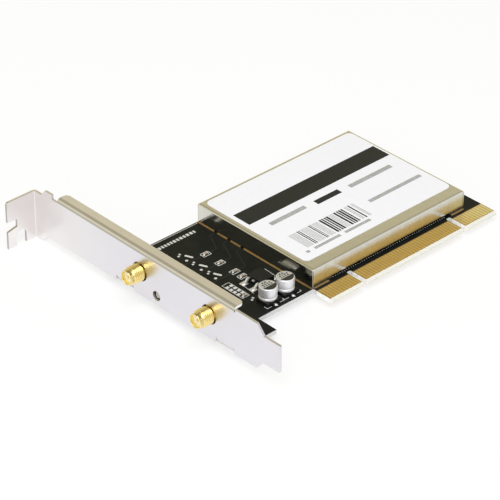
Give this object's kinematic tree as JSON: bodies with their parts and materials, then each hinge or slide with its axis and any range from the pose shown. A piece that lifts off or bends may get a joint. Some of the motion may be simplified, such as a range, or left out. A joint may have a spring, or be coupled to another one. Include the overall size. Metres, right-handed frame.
{
  "type": "wireless network card",
  "caption": "Plug-in wireless network card: black circuit board with gold edge contacts, a labelled shield can, and a folded steel bracket that carries antenna jacks.",
  "frame": {"origin": "middle of the card edge's lower end, on the component face of the board", "axes": "+X along the board away from the bracket, +Y from the card edge up the board, +Z out of the component face"},
  "size_m": [0.1346, 0.1209, 0.0209],
  "materials": {
    "board": "black solder mask over glass-fibre laminate",
    "gold": "gold-plated contacts",
    "bracket_steel": "nickel-plated sheet steel, satin",
    "screw_steel": "nickel-plated screws",
    "jack_gold": "gold-plated brass, bright",
    "insulator": "white fluoropolymer",
    "lens": "clear epoxy lens",
    "tin": "tinned leads",
    "can_aluminium": "drawn aluminium cans",
    "black_plastic": "moulded black plastic",
    "chip_ceramic": "brown chip ceramic",
    "shield_tin": "tinplate, mirror-like",
    "copper_pad": "plated copper strips",
    "label_paper": "white label",
    "crystal_metal": "crystal can"
  },
  "bodies": {
    "root": {"circuit_board": "board", "contacts_component_side": "gold", "contacts_solder_side": "gold", "bracket": "bracket_steel", "bracket_screws": "screw_steel", "led_lens": "lens", "led_leads": "tin", "regulator_body": "black_plastic", "regulator_leads": "tin", "shield_can": "shield_tin", "shield_ground_pads": "copper_pad", "shield_label": "label_paper", "radio_chip": "black_plastic", "network_processor": "black_plastic", "memory_chip": "black_plastic", "memory_leads": "tin", "reference_crystal": "crystal_metal", "jack_shell_lower": "jack_gold", "jack_insulator_lower": "insulator", "jack_contact_lower": "jack_gold", "jack_shell_upper": "jack_gold", "jack_insulator_upper": "insulator", "jack_contact_upper": "jack_gold", "capacitor_base_near": "black_plastic", "capacitor_can_near": "can_aluminium", "capacitor_terminals_near": "tin", "capacitor_base_far": "black_plastic", "capacitor_can_far": "can_aluminium", "capacitor_terminals_far": "tin", "chip_body_1": "chip_ceramic", "chip_ends_1": "tin", "chip_body_2": "chip_ceramic", "chip_ends_2": "tin", "chip_body_3": "chip_ceramic", "chip_ends_3": "tin", "chip_body_4": "chip_ceramic", "chip_ends_4": "tin", "chip_body_5": "chip_ceramic", "chip_ends_5": "tin"}
  },
  "joints": []
}
